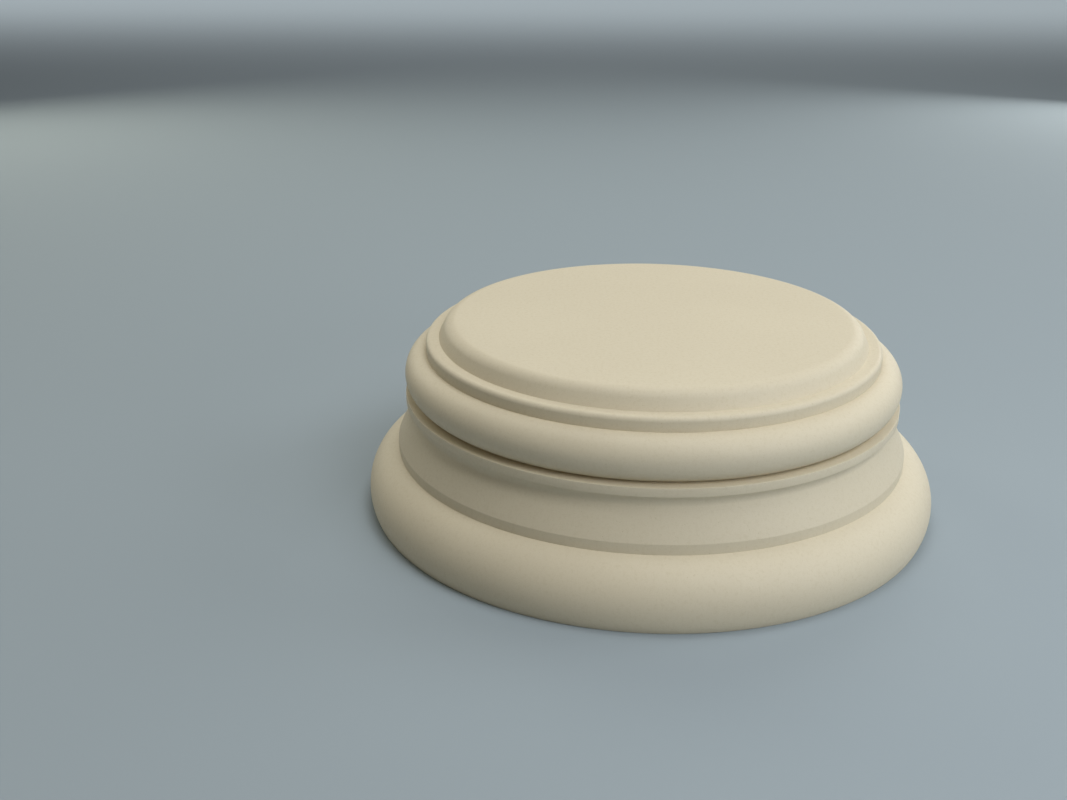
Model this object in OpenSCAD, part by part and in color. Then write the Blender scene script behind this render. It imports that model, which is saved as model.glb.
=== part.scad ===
// Round column base without a plinth: one turned block of cast stone.
// Millimetres, +Z up, origin on the ground at the centre of the underside.
// Diameters are set out from the seat of the shaft, moulding by moulding.

/* [Seat] */
// Diameter of the flat seat for the shaft
seat_d = 300; // [200:1:500]
// Radius of the rounded rim of the seat
rim_r = 11; // [4:0.5:12]
// How far the splayed face below the rim stands out from the seat
shoulder_out = 13.5; // [12.5:0.5:20]
// Height from the collar to the seat
shoulder_h = 13; // [10:0.5:18]

/* [Collar] */
// How far the low step under the seat stands out from the splayed face
collar_out = 10; // [6:0.5:16]
// Height of that step
collar_h = 10; // [6:0.5:16]
// Radius of its upper arris
collar_r = 3.5; // [1:0.5:5]

/* [Upper torus] */
// How far the upper torus stands out from the collar
upper_torus_out = 16.5; // [12:0.5:22]
// Height of the upper torus
upper_torus_h = 32; // [24:0.5:40]
// How far its round is let into the band below it
torus_bed = 1; // [0.5:0.1:2]

/* [Upper fillet] */
// How far the flat band under the upper torus stands out from the collar
upper_fillet_out = 16.5; // [12:0.5:22]
// Height of that band
upper_fillet_h = 6.5; // [4:0.5:12]

/* [Scotia] */
// Height of the hollow moulding
scotia_h = 30.5; // [24:0.5:40]
// How far it is cut in behind the face of the upper fillet
scotia_depth = 4; // [2:0.5:6]
// Radius of its small upper curve, which runs out in a straight splay
scotia_r = 6; // [5:0.5:10]

/* [Lower fillet] */
// How far the flat band under the hollow stands out from the upper one
lower_fillet_out = 7; // [2:0.5:12]
// Height of that band
lower_fillet_h = 7.5; // [4:0.5:12]

/* [Lower torus] */
// How far the lower torus stands out from the band above it
lower_torus_out = 24; // [18:0.5:26]
// Height of the lower torus
lower_torus_h = 46; // [42:0.5:60]
// Height of its widest line above the ground
belly_h = 14; // [8:0.5:16]

/* [Hidden] */
$fn = 180;
stone_colour = [0.84, 0.80, 0.69];

// heights of the beds between the mouldings, from the ground up
lower_fillet_z = lower_torus_h;
scotia_z = lower_fillet_z + lower_fillet_h;
upper_fillet_z = scotia_z + scotia_h;
upper_torus_z = upper_fillet_z + upper_fillet_h;
collar_z = upper_torus_z + upper_torus_h;
shoulder_z = collar_z + collar_h;
total_h = shoulder_z + shoulder_h;

// distances of their faces from the axis, from the seat outwards
seat_x = seat_d / 2;
shoulder_x = seat_x + shoulder_out;
collar_x = shoulder_x + collar_out;
upper_torus_x = collar_x + upper_torus_out;
upper_fillet_x = collar_x + upper_fillet_out;
lower_fillet_x = upper_fillet_x + lower_fillet_out;
lower_torus_x = lower_fillet_x + lower_torus_out;

// lower torus: one arc, upright at its widest line, that ends at the foot of the lower fillet
torus_rise = lower_torus_h - belly_h;
lower_arc_r = (pow(lower_torus_out, 2) + pow(torus_rise, 2)) / (2 * lower_torus_out);
lower_arc_x = lower_torus_x - lower_arc_r;

// upper torus: a half round that dips into the upper fillet
upper_arc_r = (upper_torus_h + torus_bed) / 2;
upper_arc_x = upper_torus_x - upper_arc_r;

// how far a splay dips into the curve it runs out of, and how far it runs on past its lower edge
dip = 0.05;
run_on = 0.2;

// scotia: a curve from the edge of the upper fillet, and a splay from it to the lower fillet
cove_x = upper_fillet_x - scotia_depth + scotia_r;
cove_z = upper_fillet_z - sqrt(pow(scotia_r, 2) - pow(scotia_r - scotia_depth, 2));
cove_away = norm([cove_x - lower_fillet_x, cove_z - scotia_z]);
splay_angle = asin(scotia_r / cove_away) + atan2(lower_fillet_x - cove_x, cove_z - scotia_z);
splay_top = [
    cove_x - (scotia_r - dip) * cos(splay_angle),
    cove_z - (scotia_r - dip) * sin(splay_angle)
];
splay_edge = [lower_fillet_x, scotia_z];
splay_end = splay_edge + run_on * (splay_edge - splay_top);

// shoulder: the rounded rim of the seat, and a splay from it to the collar
rim_z = total_h - rim_r;
rim_away = norm([shoulder_out, rim_z - shoulder_z]);
rim_angle = acos(rim_r / rim_away) - atan2(rim_z - shoulder_z, shoulder_out);
shoulder_top = [
    seat_x + (rim_r - dip) * cos(rim_angle),
    rim_z + (rim_r - dip) * sin(rim_angle)
];
shoulder_edge = [shoulder_x, shoulder_z];
shoulder_end = shoulder_edge + run_on * (shoulder_edge - shoulder_top);

// half profile of a solid drum that stands on the ground
module drum(r, top) {
    square([r, top]);
}

module lower_torus_profile() {
    intersection() {
        translate([lower_arc_x, belly_h])
            circle(r = lower_arc_r);
        drum(2 * lower_torus_x, scotia_z);
    }
}

// both fillets, with the hollow cut out of the step between them
module waist_profile() {
    difference() {
        union() {
            drum(lower_fillet_x, cove_z);
            drum(upper_fillet_x, upper_torus_z);
        }
        translate([cove_x, cove_z])
            circle(r = scotia_r);
        polygon([splay_end, splay_top, [cove_x, cove_z + dip], [2 * lower_fillet_x, cove_z + dip]]);
    }
}

module upper_torus_profile() {
    translate([upper_arc_x, collar_z - upper_arc_r])
        circle(r = upper_arc_r);
}

module collar_profile() {
    drum(collar_x, shoulder_z - collar_r);
    drum(collar_x - collar_r, shoulder_z);
    translate([collar_x - collar_r, shoulder_z - collar_r])
        circle(r = collar_r);
}

module seat_profile() {
    drum(seat_x, total_h);
    translate([seat_x, rim_z])
        circle(r = rim_r);
    polygon([[0, collar_z], shoulder_end, shoulder_top, [0, rim_z]]);
}

module column_base() {
    color(stone_colour)
        rotate_extrude() {
            lower_torus_profile();
            waist_profile();
            upper_torus_profile();
            collar_profile();
            seat_profile();
        }
}

column_base();
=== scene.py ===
import bpy
import math
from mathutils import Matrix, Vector


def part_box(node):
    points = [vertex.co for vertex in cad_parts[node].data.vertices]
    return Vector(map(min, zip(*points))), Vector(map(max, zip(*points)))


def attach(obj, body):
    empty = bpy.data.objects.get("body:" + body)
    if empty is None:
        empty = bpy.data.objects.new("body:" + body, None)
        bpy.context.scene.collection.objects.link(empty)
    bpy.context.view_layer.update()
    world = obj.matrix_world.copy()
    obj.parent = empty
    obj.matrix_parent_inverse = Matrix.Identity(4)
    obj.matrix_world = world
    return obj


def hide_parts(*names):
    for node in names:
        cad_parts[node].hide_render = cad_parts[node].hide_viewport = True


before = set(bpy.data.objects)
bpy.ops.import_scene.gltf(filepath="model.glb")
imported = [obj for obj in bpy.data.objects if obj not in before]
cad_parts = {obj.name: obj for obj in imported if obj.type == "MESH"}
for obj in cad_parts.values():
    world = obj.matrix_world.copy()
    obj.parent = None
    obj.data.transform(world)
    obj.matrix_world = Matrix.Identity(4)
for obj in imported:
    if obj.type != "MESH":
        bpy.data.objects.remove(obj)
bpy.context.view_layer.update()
print("frame loaded")

baseLow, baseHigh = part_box("column_base")

# mouldings of the base in metres, from the ground up
base = {
    "radius": (baseHigh.x - baseLow.x) / 2,
    "sides": 288,                # points round each ring
    "arcStep": 5.0,              # degrees of arc from ring to ring
    "scotiaSteps": 4,            # rings up the straight of the scotia
    "shoulderSteps": 2,
    "bellyHeight": 0.014,        # height of the widest line
    "lowerTorusHeight": 0.046,
    "lowerFilletRadius": 0.197,
    "lowerFilletHeight": 0.0075,
    "scotiaHeight": 0.0305,
    "scotiaDepth": 0.004,        # behind the face of the upper fillet
    "coveRadius": 0.006,
    "upperFilletRadius": 0.190,
    "upperFilletHeight": 0.0065,
    "upperTorusRadius": 0.190,
    "upperTorusHeight": 0.032,
    "upperTorusBed": 0.001,
    "collarRadius": 0.1735,
    "collarHeight": 0.010,
    "collarRound": 0.0035,
    "seatRadius": 0.150,
    "shoulderOut": 0.0135,
    "shoulderHeight": 0.013,
    "rimRound": 0.011,
    "arris": 0.0003,             # how far the sharp edges are eased
    "arrisSteps": 3,
    "seatMargin": 0.002,
    "smoothAngle": 28,           # degrees; sharper edges stay crisp
}


def nothingSelected():
    bpy.ops.object.select_all(action="DESELECT")


def arcRings(centreRadius, centreHeight, radius, start, end):
    # rings along an arc of the profile, angles in degrees above the horizontal
    steps = max(2, math.ceil(abs(end - start) / base["arcStep"]))
    angles = [math.radians(start + (end - start) * i / steps) for i in range(steps + 1)]
    return [(centreRadius + radius * math.cos(a), centreHeight + radius * math.sin(a)) for a in angles]


def between(first, last, steps):
    # evenly spaced rings from first up to, but without, last
    return [tuple(a + (b - a) * i / steps for a, b in zip(first, last)) for i in range(steps)]


def lowerTorusRings():
    # one arc from the ground, over its widest line, to the foot of the lower fillet
    overhang = base["radius"] - base["lowerFilletRadius"]
    rise = base["lowerTorusHeight"] - base["bellyHeight"]
    arcRadius = (overhang ** 2 + rise ** 2) / (2 * overhang)
    foot = -math.degrees(math.asin(base["bellyHeight"] / arcRadius))
    top = math.degrees(math.asin(rise / arcRadius))
    return arcRings(base["radius"] - arcRadius, base["bellyHeight"], arcRadius, foot, top)


def scotiaRings(bottom):
    # a splay from the lower fillet, then a small cove up to the edge of the upper fillet
    cove, depth = base["coveRadius"], base["scotiaDepth"]
    centreRadius = base["upperFilletRadius"] - depth + cove
    centreHeight = bottom + base["scotiaHeight"] - math.sqrt(cove ** 2 - (cove - depth) ** 2)
    inward, rise = base["lowerFilletRadius"] - centreRadius, centreHeight - bottom
    lean = math.asin(cove / math.hypot(inward, rise)) + math.atan2(inward, rise)
    top = math.degrees(math.acos((cove - depth) / cove))
    edge = (base["lowerFilletRadius"], bottom)
    curve = arcRings(centreRadius, centreHeight, cove, 180 + math.degrees(lean), 180 - top)
    return between(edge, curve[0], base["scotiaSteps"]) + curve


def shoulderRings(bottom):
    # a splay from the collar, then the rounded rim of the seat
    rim, out = base["rimRound"], base["shoulderOut"]
    above = base["shoulderHeight"] - rim
    turn = math.acos(rim / math.hypot(out, above)) - math.atan2(above, out)
    curve = arcRings(base["seatRadius"], bottom + above, rim, math.degrees(turn), 90)
    edge = (base["seatRadius"] + out, bottom)
    return between(edge, curve[0], base["shoulderSteps"]) + curve


def profileRings():
    rings = lowerTorusRings()
    height = base["lowerTorusHeight"] + base["lowerFilletHeight"]
    rings += scotiaRings(height)
    height += base["scotiaHeight"] + base["upperFilletHeight"]
    rings += [(base["upperFilletRadius"], height)]
    # the upper torus is let a little into the fillet below it
    torusRound = (base["upperTorusHeight"] + base["upperTorusBed"]) / 2
    torusCentre = height + base["upperTorusHeight"] - torusRound
    start = -math.degrees(math.asin((torusCentre - height) / torusRound))
    rings += arcRings(base["upperTorusRadius"] - torusRound, torusCentre, torusRound, start, 90)
    height += base["upperTorusHeight"]
    rings += [(base["collarRadius"], height)]
    height += base["collarHeight"]
    collarRound = base["collarRound"]
    rings += arcRings(base["collarRadius"] - collarRound, height - collarRound, collarRound, 0, 90)
    return rings + shoulderRings(height)


def selectRings(mesh, places):
    # edges lying along the rings at these radii and heights
    bpy.ops.mesh.select_all(action="DESELECT")
    bpy.ops.mesh.select_mode(type="EDGE")
    bpy.ops.object.mode_set(mode="OBJECT")
    near = 1e-5      # metres
    for edge in mesh.edges:
        ends = [mesh.vertices[v].co for v in edge.vertices]
        for radius, height in places:
            if all(abs(p.xy.length - radius) < near and abs(p.z - height) < near for p in ends):
                edge.select = True
    bpy.ops.object.mode_set(mode="EDIT")


def makeColumnBase():
    rings = profileRings()
    radius, height = rings[0]
    nothingSelected()
    bpy.ops.mesh.primitive_circle_add(vertices=base["sides"], radius=radius, fill_type="NGON",
                                      location=(0, 0, height))
    piece = bpy.context.object
    piece.name = "columnBaseStone"
    bpy.ops.object.mode_set(mode="EDIT")
    bpy.ops.mesh.select_mode(type="FACE")
    bpy.ops.mesh.select_all(action="SELECT")
    # the disc is drawn up through every ring of the profile, as on a lathe
    for nextRadius, nextHeight in rings[1:]:
        bpy.ops.mesh.extrude_region_move(TRANSFORM_OT_translate={"value": (0, 0, nextHeight - height)})
        growth = nextRadius / radius
        bpy.ops.transform.resize(value=(growth, growth, 1), center_override=(0, 0, nextHeight))
        radius, height = nextRadius, nextHeight
    bpy.ops.mesh.inset(thickness=base["seatMargin"])
    scotiaFoot = base["lowerTorusHeight"] + base["lowerFilletHeight"]
    filletFoot = scotiaFoot + base["scotiaHeight"]
    selectRings(piece.data, [rings[0],
                             (base["lowerFilletRadius"], scotiaFoot),
                             (base["upperFilletRadius"], filletFoot),
                             (base["upperFilletRadius"], filletFoot + base["upperFilletHeight"])])
    bpy.ops.mesh.bevel(offset=base["arris"], segments=base["arrisSteps"], affect="EDGES")
    bpy.ops.mesh.select_all(action="SELECT")
    bpy.ops.mesh.remove_doubles(threshold=1e-6)      # metres
    bpy.ops.mesh.normals_make_consistent(inside=False)
    bpy.ops.object.mode_set(mode="OBJECT")
    bpy.ops.object.transform_apply(location=True, rotation=True, scale=True)
    bpy.ops.object.shade_smooth_by_angle(angle=math.radians(base["smoothAngle"]))
    return piece


stone = {
    "light": (0.684, 0.610, 0.465, 1),
    "dark": (0.672, 0.598, 0.455, 1),
    "grit": (0.500, 0.420, 0.260, 1),   # darker sand grains in the face
    # a range is the span of the noise over which its effect fades in
    "cloudScale": 9,           # soft clouding a few centimetres wide
    "cloudRange": (0.38, 0.62),
    "sandScale": 420,
    "sandRange": (0.5, 0.72),
    "sandTint": 0.16,
    "grainScale": 1500,        # grains well under a millimetre
    "grainRange": (0.45, 0.8),
    "grainTint": 0.22,
    "poreScale": 330,
    "poreSize": 0.16,          # share of a cell that a pore takes
    "poreFloor": 0.4,          # share of the pore that is at full depth
    "patchScale": 90,          # where the casting was a little open
    "patchRange": (0.56, 0.66),
    "poreTint": 0.55,
    "roughRange": (0.35, 0.65),
    "roughness": (0.52, 0.68),
    "specular": 0.5,
    "waveScale": 22,           # broad unevenness of the mould
    "waveDepth": 0.0005,
    "waveStrength": 0.25,
    "sandDepth": 0.00012,
    "sandStrength": 0.45,
}


def stoneMaterial():
    material = bpy.data.materials.new("castStone")
    material.use_nodes = True
    tree = material.node_tree
    shader = tree.nodes["Principled BSDF"]

    def node(kind, **settings):
        made = tree.nodes.new(kind)
        for name, value in settings.items():
            setattr(made, name, value)
        return made

    def noise(scale, detail, roughness=0.5):
        made = node("ShaderNodeTexNoise")
        made.inputs["Scale"].default_value = scale
        made.inputs["Detail"].default_value = detail
        made.inputs["Roughness"].default_value = roughness
        tree.links.new(place.outputs["Object"], made.inputs["Vector"])
        return made.outputs["Fac"]

    def spread(value, low, high, toLow=0, toHigh=1):
        made = node("ShaderNodeMapRange", interpolation_type="SMOOTHSTEP")
        for name, number in (("From Min", low), ("From Max", high), ("To Min", toLow), ("To Max", toHigh)):
            made.inputs[name].default_value = number
        tree.links.new(value, made.inputs["Value"])
        return made.outputs["Result"]

    def mixColour(factor, first, second):
        made = node("ShaderNodeMix", data_type="RGBA")
        tree.links.new(factor, made.inputs["Factor"])
        for value, socket in ((first, made.inputs[6]), (second, made.inputs[7])):   # colours A and B
            if isinstance(value, tuple):
                socket.default_value = value
            else:
                tree.links.new(value, socket)
        return made.outputs[2]

    def times(first, second):
        made = node("ShaderNodeMath", operation="MULTIPLY")
        tree.links.new(first, made.inputs[0])
        if isinstance(second, (int, float)):
            made.inputs[1].default_value = second
        else:
            tree.links.new(second, made.inputs[1])
        return made.outputs["Value"]

    def minus(first, second):
        made = node("ShaderNodeMath", operation="SUBTRACT")
        tree.links.new(first, made.inputs[0])
        tree.links.new(second, made.inputs[1])
        return made.outputs["Value"]

    place = node("ShaderNodeTexCoord")
    clouds = noise(stone["cloudScale"], 4, 0.55)
    sand = noise(stone["sandScale"], 3, 0.6)
    grain = noise(stone["grainScale"], 2)
    # pores: small pits, only in patches
    cells = node("ShaderNodeTexVoronoi")
    cells.inputs["Scale"].default_value = stone["poreScale"]
    tree.links.new(place.outputs["Object"], cells.inputs["Vector"])
    pit = spread(cells.outputs["Distance"], stone["poreSize"], stone["poreSize"] * stone["poreFloor"])
    pores = times(pit, spread(noise(stone["patchScale"], 2), *stone["patchRange"]))
    # colour: clouded cream, peppered with darker sand
    colour = mixColour(spread(clouds, *stone["cloudRange"]), stone["dark"], stone["light"])
    colour = mixColour(times(spread(sand, *stone["sandRange"]), stone["sandTint"]), colour, stone["grit"])
    colour = mixColour(times(spread(grain, *stone["grainRange"]), stone["grainTint"]), colour, stone["grit"])
    colour = mixColour(times(pores, stone["poreTint"]), colour, stone["grit"])
    tree.links.new(colour, shader.inputs["Base Color"])
    roughness = spread(sand, *stone["roughRange"], *stone["roughness"])
    tree.links.new(roughness, shader.inputs["Roughness"])
    shader.inputs["Specular IOR Level"].default_value = stone["specular"]
    # surface: the mould's waves, then grain and pores
    waves = node("ShaderNodeBump")
    waves.inputs["Strength"].default_value = stone["waveStrength"]
    waves.inputs["Distance"].default_value = stone["waveDepth"]
    tree.links.new(noise(stone["waveScale"], 2), waves.inputs["Height"])
    sandBump = node("ShaderNodeBump")
    sandBump.inputs["Strength"].default_value = stone["sandStrength"]
    sandBump.inputs["Distance"].default_value = stone["sandDepth"]
    tree.links.new(minus(grain, pores), sandBump.inputs["Height"])
    tree.links.new(waves.outputs["Normal"], sandBump.inputs["Normal"])
    tree.links.new(sandBump.outputs["Normal"], shader.inputs["Normal"])
    return material


paleFloor = {
    "size": 40,
    "colour": (0.326, 0.379, 0.421, 1),
    "roughness": 0.9,
    "specular": 0.1,
}


def makeFloor():
    nothingSelected()
    bpy.ops.mesh.primitive_plane_add(size=paleFloor["size"], location=(0, 0, 0))
    floor = bpy.context.object
    floor.name = "floor"
    material = bpy.data.materials.new("paleFloor")
    material.use_nodes = True
    shader = material.node_tree.nodes["Principled BSDF"]
    shader.inputs["Base Color"].default_value = paleFloor["colour"]
    shader.inputs["Roughness"].default_value = paleFloor["roughness"]
    shader.inputs["Specular IOR Level"].default_value = paleFloor["specular"]
    floor.data.materials.append(material)


camera = {
    "lens": 40.4,          # mm
    "sensor": 36,
    "distance": 0.963,     # from the axis, at aimHeight
    "aimHeight": 0.0458,
    "elevation": 23.33,
    "turnLeft": 5.89,      # the base stands right of the centre of the view
    "tiltUp": 1.55,
}


def placeCamera():
    elevation = math.radians(camera["elevation"])
    back = camera["distance"] * math.cos(elevation)
    up = camera["aimHeight"] + camera["distance"] * math.sin(elevation)
    tilt = math.radians(90 - camera["elevation"] + camera["tiltUp"])
    turn = math.radians(camera["turnLeft"])
    nothingSelected()
    bpy.ops.object.camera_add(location=(0, -back, up), rotation=(tilt, 0, turn))
    bpy.context.scene.camera = bpy.context.object
    bpy.context.object.data.lens = camera["lens"]
    bpy.context.object.data.sensor_width = camera["sensor"]


# soft boxes round the base, in degrees: turn is from the camera's side towards the right,
# rise is above the floor
boxAway, boxSize = 2.5, 1.2
lamps = {
    "keyRight": {"turn": 110, "rise": 30, "watts": 11.6, "colour": (0.95, 0.99, 1)},
    "frontRight": {"turn": 45, "rise": 50, "watts": 17.0, "colour": (0.98, 1, 1)},
    "lowRight": {"turn": 55, "rise": 20, "watts": 3.6, "colour": (0.92, 0.96, 1),
                 "away": 1.3, "size": 0.5},
    "left": {"turn": 270, "rise": 50, "watts": 2.4, "colour": (1, 0.93, 0.6)},
    "frontLeft": {"turn": 335, "rise": 25, "watts": 3.0, "colour": (1, 0.86, 0.55)},
    "back": {"turn": 180, "rise": 50, "watts": 9.3, "colour": (0.98, 1, 0.93)},
    "backLeft": {"turn": 225, "rise": 22, "watts": 10.0, "colour": (1, 0.97, 0.8)},
    "backRight": {"turn": 150, "rise": 15, "watts": 8.4, "colour": (1, 0.99, 0.92)},
    "overhead": {"turn": 0, "rise": 89, "watts": 18.5, "colour": (0.99, 1, 0.98), "size": 1.5},
}

# a wide box with a narrow spread, so that it lights the far floor and nothing else
farBox = {
    "place": (-0.7, 6.3, 3),
    "size": 12,
    "depth": 4.5,
    "watts": 180,
    "colour": (1, 0.99, 0.95),
    "spread": 100,
}
worldStrength = 0.10


def addLamp(name, place, rotation, size, watts, colour):
    nothingSelected()
    bpy.ops.object.light_add(type="AREA", location=place, rotation=rotation)
    lamp = bpy.context.object
    lamp.name = name
    lamp.visible_camera = False
    lamp.data.shape = "DISK"
    lamp.data.size = size
    lamp.data.energy = watts
    lamp.data.color = colour


def makeLights():
    world = bpy.data.worlds.new("studio")
    bpy.context.scene.world = world
    world.use_nodes = True
    background = world.node_tree.nodes["Background"]
    background.inputs["Color"].default_value = (1, 1, 1, 1)
    background.inputs["Strength"].default_value = worldStrength
    for name, lamp in lamps.items():
        turn, rise = math.radians(lamp["turn"]), math.radians(lamp["rise"])
        place = Vector((math.sin(turn) * math.cos(rise), -math.cos(turn) * math.cos(rise), math.sin(rise)))
        aim = (-place).to_track_quat("-Z", "Y").to_euler()
        place *= lamp.get("away", boxAway)
        addLamp(name, place, aim, lamp.get("size", boxSize), lamp["watts"], lamp["colour"])
    addLamp("farFloor", farBox["place"], (0, 0, 0), farBox["size"], farBox["watts"], farBox["colour"])
    farFloor = bpy.context.object
    farFloor.data.shape = "RECTANGLE"
    farFloor.data.size_y = farBox["depth"]
    farFloor.data.spread = math.radians(farBox["spread"])
    farFloor.visible_glossy = False


bpy.context.scene.view_settings.view_transform = "Standard"
placeCamera()
makeFloor()
print("camera and floor placed")
piece = makeColumnBase()
print("column base modelled", len(piece.data.polygons), "faces")
piece.data.materials.append(stoneMaterial())
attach(piece, "root")
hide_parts("column_base")
print("stone on the base")
makeLights()
print("lights set", len(lamps) + 1)
